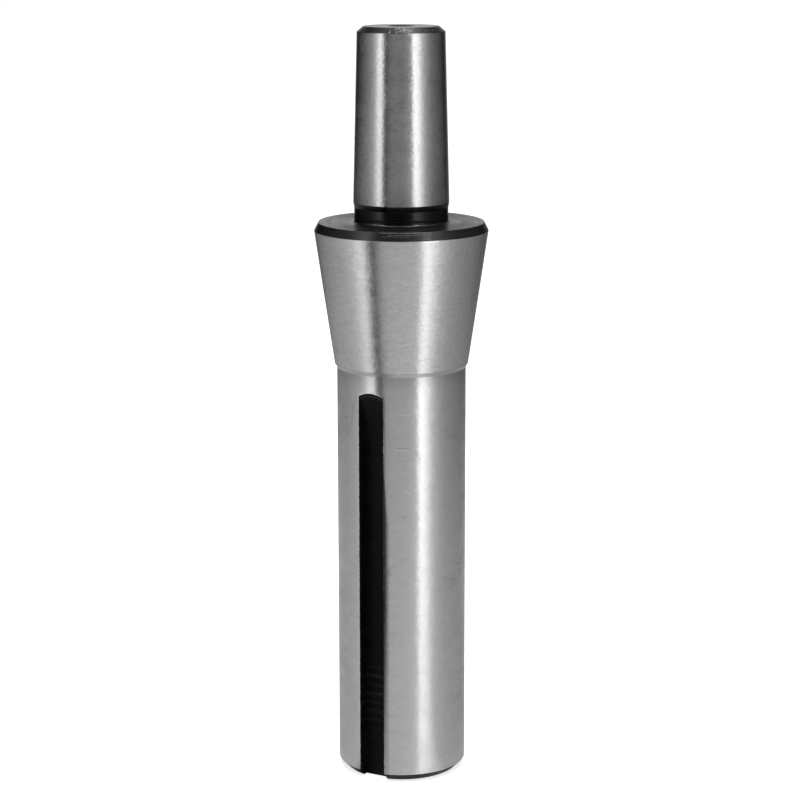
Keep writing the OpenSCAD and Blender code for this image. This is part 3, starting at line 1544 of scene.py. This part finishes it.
@dataclass(frozen=True)
class BlackOxide:
    """Turned steel left black from hardening, with its turning rings and bare worn edges."""

    name: str
    seed: float
    axial: float
    tone: float
    rough: float = 0.4
    shine: float = 0.5
    bend: float = 1.5
    drawn_out: float = 0.0
    ring_height: float = 0.22 * MM
    ring_depth: float = 0.004 * MM
    bare: tuple[Edge, ...] = ()
    bare_tone: float = 0.42
    bareness: float = 0.8
    bare_metal: float = 1.0
    dull: tuple[Edge, ...] = ()
    radius: float = 16 * MM
    streaked_and_highlit: tuple[Mark, ...] = ()
    streak_and_highlight_share: float = 0.3
    speck_bright: float = 0.05
    speck_metal: float = 0.3
    dull_rough: float = 0.9
    rough_swing: Swing = Swing(0.18, 0.1, 0.08)

    def build(self, effects: Effects) -> Material:
        """Makes the material.

        Args:
            effects: the shared node groups.

        Returns:
            The material.
        """
        coat = Coat(self.name, effects, Specular_IOR_Level=self.shine, IOR=self.bend)
        if self.drawn_out:
            coat.draw_out(self.drawn_out)
        sizes = {"Height": self.ring_height, "Length": 9 * MM, "Axial": self.axial}
        lines = coat.effect(effects.lines, Seed=self.seed, **sizes)
        specks = coat.effect(effects.specks, Seed=self.seed, Cell=1.6 * MM, Size=0.2 * MM)["Mask"]
        smudge = coat.cloud(3 * MM, 3.0, self.seed)
        swing = Swing(0.8 * self.tone, 0.6 * self.tone)
        tone = coat.swung(self.tone, swing, lines, smudge) + specks * self.speck_bright
        # Bare streaks; on the rim bevel the last one is a painted highlight along the rim.
        streaks = coat.marked(self.streaked_and_highlit, self.radius, 0.8) * self.streak_and_highlight_share
        worn = coat.math("MAXIMUM", coat.worn(self.bare) * self.bareness, streaks)
        coat.link("Base Color", coat.blend(worn, tone, self.bare_tone))
        coat.link("Metallic", specks * self.speck_metal | worn * self.bare_metal & 1.0)
        rough = coat.swung(self.rough, self.rough_swing, lines, smudge)
        coat.link("Roughness", rough | coat.worn(self.dull, 0.3) * self.dull_rough)
        coat.raised(lines["Fine"], self.ring_depth)
        return coat.material


@dataclass(frozen=True)
class BareSteel:
    """The nose's end: turned steel, dulled by heat but not black."""

    name: str
    seed: float
    axial: float
    tone: float = 0.17
    rough: float = 0.34
    ring_height: float = 0.2 * MM
    ring_depth: float = 0.006 * MM
    darkened: tuple[Edge, ...] = ()
    darkening: float = 0.9
    radius: float = 7.5 * MM
    chipped: tuple[Mark, ...] = ()
    nicked: tuple[Mark, ...] = ()
    chip_share: float = 0.6
    chip_bright: float = 0.6
    chip_cut: float = 0.8
    speck_bright: float = 0.15
    tone_swing: Swing = Swing(0.1, 0.08, 0.06)
    rough_swing: Swing = Swing(0.14, 0.1)

    def build(self, effects: Effects) -> Material:
        """Makes the material.

        Args:
            effects: the shared node groups.

        Returns:
            The material.
        """
        coat = Coat(self.name, effects, Metallic=1.0)
        sizes = {"Height": self.ring_height, "Length": 7 * MM, "Axial": self.axial}
        lines = coat.effect(effects.lines, Seed=self.seed, **sizes)
        specks = coat.effect(effects.specks, Seed=self.seed, Cell=1.3 * MM, Size=0.22 * MM)["Mask"]
        smudge = coat.cloud(1.5 * MM, 3.0, self.seed)
        tone = coat.swung(self.tone, self.tone_swing, lines, smudge) + specks * self.speck_bright
        chips = coat.effect(effects.specks, Seed=3.1, Cell=0.55 * MM, Size=0.26 * MM, Share=0.7)["Mask"]
        chips = chips * coat.marked(self.chipped, self.radius, 0.4) * self.chip_share
        chips = chips | coat.marked(self.nicked, self.radius)
        dimmed = coat.worn(self.darkened, 0.3) * self.darkening
        coat.link("Base Color", (tone + chips * self.chip_bright) * (1.0 - dimmed))
        coat.link("Roughness", coat.swung(self.rough, self.rough_swing, lines, smudge))
        coat.raised(lines["Fine"] - chips * self.chip_cut, self.ring_depth)
        return coat.material


@dataclass(frozen=True)
class MilledBlack:
    """The keyway: milled, then black from hardening, with the cutter's marks across it."""

    shank_r: float
    name: str = "milled_keyway"
    tone: float = 0.0028
    rough: float = 0.5
    mark_height: float = 0.9 * MM
    mark_depth: float = 0.012 * MM
    lip_depth: float = 0.2 * MM
    lip_width: float = 0.07 * MM
    lip_bright: float = 0.05
    feed: float = 1.75 * MM
    feed_zone: tuple[float, float, float, float] = (9 * MM, 13 * MM, 20 * MM, 24 * MM)
    feed_bright: float = 0.016
    foot: tuple[float, float] = (14 * MM, 2 * MM)
    foot_bright: float = 0.004
    rough_swing: Swing = Swing(0.2, 0.15)

    def build(self, effects: Effects) -> Material:
        """Makes the material.

        Args:
            effects: the shared node groups.

        Returns:
            The material.
        """
        coat = Coat(self.name, effects, Specular_IOR_Level=0.1)
        lines = coat.effect(effects.lines, Height=self.mark_height, Length=4 * MM, Seed=8.0)
        smudge = coat.cloud(2.5 * MM, 3.0, 4.0)
        x, y, z = coat.split(coat.place)
        off = abs(self.shank_r - hypotenuse(x, y) - self.lip_depth)
        lip = off.clamped(self.lip_width, self.lip_width / 3) * smudge
        low, rise, fall, high = self.feed_zone
        wave = coat.math("SINE", z * (FULL_TURN / self.feed))
        feed = wave.clamped(0.2, 0.9) * z.clamped(low, rise) * z.clamped(high, fall) * lines["Fine"]
        tone = coat.swung(self.tone, Swing(self.tone, self.tone), lines, smudge)
        tone = tone + lip * self.lip_bright + feed * self.feed_bright
        coat.link("Base Color", tone + z.clamped(*self.foot) * self.foot_bright)
        coat.link("Roughness", coat.swung(self.rough, self.rough_swing, lines, smudge))
        coat.raised(lines["Fine"], self.mark_depth)
        return coat.material


@dataclass(frozen=True)
class CutSteel:
    """The drawbar thread and the drilled hole behind it: cut steel with an oil film."""

    name: str = "cut_steel"
    tone: float = 0.16
    rough: float = 0.34
    mark_height: float = 0.12 * MM
    mark_depth: float = 0.004 * MM
    tone_swing: Swing = Swing(0.05, 0.1)
    rough_swing: Swing = Swing(0.12, 0.2)

    def build(self, effects: Effects) -> Material:
        """Makes the material.

        Args:
            effects: the shared node groups.

        Returns:
            The material.
        """
        coat = Coat(self.name, effects, Metallic=1.0)
        lines = coat.effect(effects.lines, Height=self.mark_height, Length=3 * MM, Seed=2.0)
        smudge = coat.cloud(2 * MM, 3.0, 9.0)
        coat.link("Base Color", coat.swung(self.tone, self.tone_swing, lines, smudge))
        coat.link("Roughness", coat.swung(self.rough, self.rough_swing, lines, smudge))
        coat.raised(lines["Fine"], self.mark_depth)
        return coat.material


@dataclass(frozen=True)
class Wardrobe:
    """Decides which finish each zone of the arbor wears."""

    sizes: ArborSizes

    def cone(self) -> GroundSteel:
        """The seat cone's finish: darkened in a thin line at the shoulder, with a scratch, a painted
        highlight under the rim and a few dark spots.

        Returns:
            The finish.
        """
        s = self.sizes
        scored_and_highlit = (
            (-18.2, -7.0, 0.11, -7.2, -5.2),
            (27.0, -11.5, 0.08, 31.5, -12.4),
            (24.0, -12.8, 0.08, 30.0, -13.1),
            # Painted highlight: two bright strips just under the rim, where its rounded edge catches the
            # light.
            (42.5, -0.12, 0.2, 53.0, -0.12),
            (50.0, -0.05, 0.35, 52.5, -0.05),
        )
        spotted = (
            (-3.0, -s.seat_len / MM, 0.22, 7.3, -s.seat_len / MM),
            (63.4, -1.35, 0.22),
            (60.8, -0.9, 0.14, 61.8, -0.7),
            (12.2, -6.5, 0.1),
            (13.4, -7.6, 0.1),
        )
        return GroundSteel(
            "ground_cone",
            2.0,
            s.rim_r,
            tone=0.56,
            rough=0.305,
            line_height=0.22 * MM,
            line_length=1.6 * MM,
            line_depth=0.012 * MM,
            ripple_depth=0.007 * MM,
            darkened=(Edge(s.seat_r, s.seat_z, 0.3 * MM),),
            scored_and_highlit=marks(s.rim_z, *scored_and_highlit),
            spotted=marks(s.rim_z, *spotted),
        )

    def nose(self) -> GroundSteel:
        """The nose taper's finish, with a cluster of short scratches near its end.

        Returns:
            The finish.
        """
        scored_and_highlit = (
            (-2.5, -5.7, 0.09, 4.4, -3.9),
            (-4.1, -4.6, 0.08, 1.6, -2.9),
            (-1.3, -2.6, 0.09, 4.2, -1.5),
            (14.0, -1.2, 0.1, 19.0, -1.5),
        )
        return GroundSteel(
            "ground_nose",
            3.0,
            self.sizes.nose_r,
            tone=0.49,
            rough=0.305,
            grain_tone=0.1,
            ripple_depth=0.008 * MM,
            scored_and_highlit=marks(self.sizes.top_z, *scored_and_highlit),
        )

    def shank(self) -> GroundSteel:
        """The shank's finish: painted shade under the shoulder, a dark rim along the keyway and a painted
        dark reflection beside it, with a few faint scratches and dark spots.

        Returns:
            The finish.
        """
        s = self.sizes
        scored_and_highlit = (
            (25.5, 56.1, 0.13, 31.6, 56.6),
            (31.6, 56.6, 0.13, 37.8, 56.1),
            (23.8, 71.1, 0.12, 36.0, 70.9),
            (22.0, 64.5, 0.12, 34.0, 64.4),
        )
        spotted = (
            (24.0, 64.8, 0.12, 29.0, 64.7),
            (30.5, 64.75, 0.12, 35.0, 64.8),
            (27.0, 62.3, 0.1, 31.0, 62.2),
            (29.5, 52.0, 0.13, 31.6, 51.5),
            (31.6, 51.5, 0.13, 33.4, 52.1),
            (42.3, 48.7, 0.22),
            (43.2, 50.9, 0.16),
            (47.1, 30.4, 0.2),
            (50.6, 27.1, 0.26),
            (48.6, 21.6, 0.24),
            (61.9, 8.2, 0.3),
            (14.9, 38.2, 0.3),
        )
        return GroundSteel(
            "ground_shank",
            1.0,
            s.shank_r,
            tone=0.59,
            rough=0.32,
            grain_depth=0.008 * MM,
            grain_tone=0.05,
            scored_and_highlit=marks(0.0, *scored_and_highlit),
            spotted=marks(0.0, *spotted),
            shaded=(s.shank_top - 4 * MM, s.shank_top),
            slot=SlotRimAndPaintedReflection(s.key_half, s.key_top - 1 * MM),
        )

    def rim_bevel(self) -> BlackOxide:
        """The finish of the bevel over the rim: rubbed bare on its edges and in a few streaks; the last
        streak, along the rim's edge, is bare metal laid as a painted highlight.

        Returns:
            The finish.
        """
        s = self.sizes
        streaks = (
            (38.0, 1.45, 0.11, 49.0, 1.45),
            (43.5, 1.12, 0.09, 48.5, 1.12),
            (43.0, 0.75, 0.08, 48.0, 0.75),
            (42.5, 0.42, 0.09, 48.0, 0.42),
            (15.0, 1.42, 0.12, 38.0, 1.42),
            (20.0, 1.12, 0.1, 42.0, 1.12),
            (16.0, 0.86, 0.08, 34.0, 0.86),
            # Painted highlight: a bare strip along the rim's edge, where the cone's highlight runs up onto
            # it.
            (42.5, 0.0, 0.22, 53.0, 0.02),
        )
        return BlackOxide(
            "black_bevel",
            5.0,
            0.6,
            tone=0.004,
            rough=0.3,
            bare=(Edge(s.rim_r, s.rim_z, 0.12 * MM), Edge(s.face_r, s.face_z, 0.06 * MM)),
            radius=s.rim_r,
            streaked_and_highlit=marks(s.rim_z, *streaks),
        )

    def face(self) -> BlackOxide:
        """The flange face's finish: black, with turning rings that draw its shine out.

        Returns:
            The finish.
        """
        return BlackOxide(
            "black_face",
            4.0,
            0.0,
            tone=0.005,
            rough=0.34,
            shine=0.42,
            bend=1.36,
            drawn_out=0.7,
            ring_height=0.4 * MM,
            ring_depth=0.012 * MM,
        )

    def neck(self) -> BlackOxide:
        """The neck's finish: black and glossy, bright on the fillet and dull in a ring above it.

        Returns:
            The finish.
        """
        s = self.sizes
        return BlackOxide(
            "black_neck",
            6.0,
            1.0,
            tone=0.002,
            rough=0.18,
            shine=0.22,
            ring_height=0.3 * MM,
            bare=(Edge(s.neck_r + 0.2 * MM, s.face_z + 0.2 * MM, 0.35 * MM),),
            bareness=0.5,
            bare_metal=10.0,
            dull=(Edge(s.neck_r, s.face_z + 0.95 * MM, 0.22 * MM),),
        )

    def nose_end(self) -> BareSteel:
        """The finish of the nose's end bevel: chipped in two places and nicked on the edge.

        Returns:
            The finish.
        """
        chipped = marks(self.sizes.top_z, (12.0, -0.4, 1.1, 40.0, -0.4), (76.0, -0.5, 0.8))
        nicks = ((13.1, -0.8, 0.4), (20.0, -0.25, 0.12, 27.0, -0.1), (76.5, -0.55, 0.24))
        nicked = marks(self.sizes.top_z, *nicks)
        return BareSteel("turned_end", 7.0, 0.5, chipped=chipped, nicked=nicked)

    def top_face(self) -> BareSteel:
        """The finish of the nose's flat end: lighter, and dark round the centre hole."""
        darkened = (Edge(self.sizes.centre_r, self.sizes.top_z, 0.4 * MM),)
        return BareSteel("turned_top", 7.5, 0.0, tone=0.27, darkened=darkened)

    def build(self) -> dict[Zone, Material]:
        """Builds every finish once.

        Returns:
            The material of each zone.
        """
        effects = Effects.built()
        foot = BlackOxide("black_foot", 9.0, 0.5, tone=0.008, shine=0.25, bend=1.2)
        hole = BlackOxide("black_hole", 11.0, 1.0, tone=0.003, shine=0.2)
        worn_by = (
            (foot, Zone.END_FACE, Zone.END_BEVEL),
            (self.shank(), Zone.SHANK, Zone.STEP),
            (self.cone(), Zone.CONE),
            (self.rim_bevel(), Zone.RIM_BEVEL),
            (self.face(), Zone.FLANGE_FACE),
            (self.neck(), Zone.NECK),
            (self.nose(), Zone.NOSE),
            (self.nose_end(), Zone.NOSE_BEVEL),
            (self.top_face(), Zone.TOP_FACE),
            (hole, Zone.CENTRE_HOLE),
            (MilledBlack(self.sizes.shank_r), Zone.KEYWAY),
            (CutSteel(), Zone.THREAD, Zone.BORE),
        )
        materials: dict[Zone, Material] = {}
        for finish, *zones in worn_by:
            materials |= dict.fromkeys(zones, finish.build(effects))
        return materials


def camera_share(graph: Graph) -> Signal:
    """1 for the rays that should find a white background: camera, glossy and transmission rays."""
    path = graph.signals("ShaderNodeLightPath")
    return path["Is Camera Ray"] | path["Is Glossy Ray"] | path["Is Transmission Ray"]


class StageCoat(Graph):
    """A material of the stage, which is put together from plain shaders."""

    def __init__(self, name: str) -> None:
        """Starts the material with nothing but its output.

        Args:
            name: name of the material.
        """
        self.material = bpy.data.materials.new(name)
        self.material.use_nodes = True
        super().__init__(self.material.node_tree)
        self.tree.nodes.remove(self.tree.nodes["Principled BSDF"])

    def finished(self, shader: Signal) -> Material:
        """Links the shader to the material's surface and gives the material."""
        self.feed(self.tree.nodes["Material Output"].inputs["Surface"], shader)
        return self.material


@dataclass(frozen=True)
class Level:
    """How bright the surround is in one direction, as an angle from the camera's side."""

    degrees: float
    wall: float
    table: float


LEVELS = (
    Level(-180, 0.78, 0.98),
    Level(-168, 0.90, 0.76),
    Level(-158, 0.03, 0.72),
    Level(-135, 0.01, 0.77),
    Level(-115, 0.06, 0.81),
    Level(-100, 0.17, 0.86),
    Level(-85, 0.30, 0.90),
    Level(-70, 0.72, 0.94),
    Level(-64, 1.38, 0.94),
    Level(-58, 2.36, 0.86),
    Level(-51, 2.36, 0.38),
    Level(-47, 1.46, 0.06),
    Level(-43.5, 0.20, 0.06),
    Level(-37, 0.08, 0.17),
    Level(-31, 0.11, 0.90),
    Level(-22, 0.10, 1.06),
    Level(5, 0.10, 1.17),
    Level(15, 0.25, 1.15),
    Level(22, 0.39, 1.12),
    Level(27, 0.55, 1.04),
    Level(29, 1.45, 1.10),
    Level(31, 2.92, 2.10),
    Level(34, 2.92, 2.25),
    Level(43, 2.80, 1.48),
    Level(50, 2.00, 0.92),
    Level(57, 1.05, 0.88),
    Level(66, 0.60, 0.88),
    Level(80, 0.27, 0.83),
    Level(95, 0.17, 0.77),
    Level(135, 0.01, 0.64),
    Level(153, 0.08, 0.66),
)


@dataclass(frozen=True)
class Surround:
    """Soft boxes and dark cards round the arbor, which only the metal's reflections see."""

    turn: float
    radius: float = 0.5
    wall_top: float = 0.62
    dome_top: float = 0.85
    brightest: float = 2.92
    overhead: float = 2.4
    overhead_radius: float = 0.13
    overhead_shift: Point = (0.10, 0.10)
    table_reach: float = 0.375
    table_lean: float = 0.085
    near: Point = (0.06, 0.17)
    near_share: float = 0.8
    near_limit: float = 1.0
    roof_share: float = 0.4
    roof_least: float = 0.27

    def line(self) -> list[Point]:
        """Section of the surround: a table card, a wall and a roof.

        Returns:
            Radius and height of its points.
        """
        table = [(r, -0.02 * MM) for r in (0.0, 0.1, 0.2, 0.35, self.radius)]
        wall = [(self.radius, self.wall_top * k / 4) for k in range(1, 5)]
        slope = (self.radius * 0.75, self.dome_top - 0.07)
        return [*table, *wall, slope, (self.radius * 0.4, self.dome_top), (0.0, self.dome_top)]

    def ramp(self, graph: Graph, share: Signal, stops: list[Point]) -> Signal:
        """Adds a colour ramp.

        Args:
            graph: where the ramp goes.
            share: the direction, from 0 to 1 all the way round.
            stops: angle in degrees and level of each stop.

        Returns:
            The level.
        """
        node = graph.node("ShaderNodeValToRGB", {"Fac": share})
        points = node.color_ramp.elements
        for number, (degrees, level) in enumerate(stops):
            where = degrees / 360 + 0.5
            point = points.new(where) if number else points[0]
            point.position = where
            grey = level / self.brightest
            point.color = (grey, grey, grey, 1.0)
        points[-1].position = 1.0
        points[-1].color = points[0].color
        return Signal(graph, node.outputs[0]) * self.brightest

    def light(self) -> Material:
        """Makes the surround's glow, which changes with direction and height.

        Returns:
            The material.
        """
        coat = StageCoat("surround_glow")
        links = {"Vector": coat.coordinates(), "Angle": -self.turn}
        place = coat.signal("ShaderNodeVectorRotate", links, rotation_type="Z_AXIS")
        x, y, z = coat.split(place)
        away = hypotenuse(x, y)
        share = coat.math("ARCTAN2", x, y * -1.0) / FULL_TURN + 0.5
        wall = self.ramp(coat, share, [(p.degrees, p.wall) for p in LEVELS])
        table = self.ramp(coat, share, [(p.degrees, p.table) for p in LEVELS])
        table = coat.blend(away.clamped(*self.near), table * self.near_share & self.near_limit, table)
        reach = self.table_reach - x / (away | 0.001) * self.table_lean
        table = table * (1.0 / ((away / reach) ** 4.0 + 1.0))
        glow = coat.blend(z.clamped(0.0, 0.02), table, wall)
        roof = (self.wall_top, self.wall_top + 0.05)
        glow = glow * z.clamped(*roof, 1.0, self.roof_share) | z.clamped(*roof, 0.0, self.roof_least)
        aside = coat.vector("SUBTRACT", place, (*self.overhead_shift, self.dome_top))
        box = coat.measure("LENGTH", aside).clamped(self.overhead_radius, self.overhead_radius * 0.85)
        glow = coat.blend((z > self.dome_top - 0.03) * box, glow, self.overhead)
        return coat.finished(coat.signal("ShaderNodeEmission", {"Strength": glow}))

    def build(self) -> Object:
        """Makes the surround, seen by glossy rays alone.

        Returns:
            The object.
        """
        values = {"Steps": 96, "Key steps": 6, "Half angle": math.radians(12), "Material": self.light()}
        made = linked("surround", grown("surround", self.line(), revolve_tree(), values))
        made.visible_camera = False
        made.visible_diffuse = False
        made.visible_transmission = False
        made.visible_shadow = False
        return made


@dataclass(frozen=True)
class Studio:
    """A pale table, soft light from above and a white background."""

    floor_radius: float = 3.0
    floor_z: float = -0.05 * MM
    floor_glow: float = 0.78
    floor_tone: float = 0.5
    white_from: float = 0.12
    white_full: float = 1.2
    lamp_height: float = 0.7
    lamp_size: float = 0.5
    lamp_watts: float = 8.0
    fill: float = 0.35

    def build(self) -> None:
        """Builds the table, the lamp and the world."""
        self.build_table()
        self.build_lamp()
        self.build_world()

    def paper(self) -> Material:
        """Makes the table's material, which is white to the camera and keeps a soft shadow.

        Returns:
            The material.
        """
        coat = StageCoat("pale_table")
        place = coat.coordinates()
        fibre = coat.noise(coat.vector("MULTIPLY", place, (900, 900, 900)), 3.0).clamped(0.3, 0.7, 0.97, 1.0)
        diffuse = coat.signal("ShaderNodeBsdfDiffuse", {"Color": fibre * self.floor_tone})
        away = hypotenuse(*coat.split(place)[:2])
        white = away.clamped(self.white_from, self.white_full, self.floor_glow, 1.0)
        glow = coat.signal("ShaderNodeEmission", {"Strength": camera_share(coat) * white})
        return coat.finished(coat.signal("ShaderNodeAddShader", {0: diffuse, 1: glow}))

    def build_table(self) -> None:
        """Adds a large round table."""
        made = bmesh.new()
        bmesh.ops.create_circle(made, cap_ends=True, segments=96, radius=self.floor_radius)
        for vert in made.verts:
            vert.co.z = self.floor_z
        mesh = bpy.data.meshes.new("table")
        made.to_mesh(mesh)
        made.free()
        mesh.materials.append(self.paper())
        table = linked("table", mesh)

    def build_lamp(self) -> None:
        """Adds one large square lamp overhead, which the surround stands for in reflections."""
        lamp = bpy.data.lights.new("overhead_lamp", "AREA")
        lamp.energy = self.lamp_watts
        lamp.size = self.lamp_size
        made = linked("overhead_lamp", lamp)
        made.location = (0.0, 0.0, self.lamp_height)
        made.visible_glossy = False
        made.visible_camera = False

    def build_world(self) -> None:
        """Makes the world white for camera, glossy and transmission rays, and a plain fill for the rest."""
        world = bpy.data.worlds.new("studio")
        world.use_nodes = True
        bpy.context.scene.world = world
        graph = Graph(world.node_tree)
        background = world.node_tree.nodes["Background"].inputs
        graph.feed(background["Strength"], camera_share(graph).clamped(0.0, 1.0, self.fill, 1.0))
        graph.feed(background["Color"], (1.0, 1.0, 1.0, 1.0))


@dataclass(frozen=True)
class PhotoCamera:
    """The camera of the photograph: its place round the arbor and its lens."""

    azimuth: float = math.radians(28.6)
    distance: float = 428.62 * MM
    height: float = 162.27 * MM
    pitch: float = math.radians(11.983)
    focal_px: float = 2333.85
    frame_px: float = 800.0
    axis_px: float = 401.55
    sensor: float = 36.0
    roll: float = math.radians(-0.08)

    def build(self) -> Object:
        """Makes the camera and sets it as the scene's camera.

        Returns:
            The camera.
        """
        data = bpy.data.cameras.new("photo_camera")
        data.sensor_width = self.sensor
        data.lens = self.focal_px / self.frame_px * self.sensor
        data.clip_start, data.clip_end = 0.01, 100.0
        camera = linked("photo_camera", data)
        side = (self.axis_px - self.frame_px / 2) / self.focal_px * self.distance
        right = Vector((math.cos(self.azimuth), math.sin(self.azimuth), 0.0))
        back = Vector((math.sin(self.azimuth), -math.cos(self.azimuth), 0.0))
        camera.location = back * self.distance - right * side + Vector((0.0, 0.0, self.height))
        camera.rotation_euler = (math.pi / 2 - self.pitch, 0.0, self.azimuth)
        camera.rotation_euler.rotate_axis("Z", self.roll)
        bpy.context.scene.camera = camera
        return camera


def main() -> None:
    """Builds the arbor, its studio and its camera in order."""
    logging.basicConfig(level=logging.INFO, format="%(name)s: %(message)s")
    bpy.context.scene.view_settings.view_transform = "Standard"
    sizes = ArborSizes(rim_r=CAD_HIGH.x, top_z=CAD_HIGH.z)
    around = Around(math.asin(sizes.key_half / sizes.shank_r))
    materials = Wardrobe(sizes).build()
    piece = Arbor(sizes, around).build(materials)
    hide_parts(NODE)
    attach(piece, BODY)
    LOG.info("%s rides on %s", piece.name, BODY)
    camera = PhotoCamera()
    camera.build()
    Surround(camera.azimuth).build()
    Studio().build()


if __name__ == "__main__":
    main()
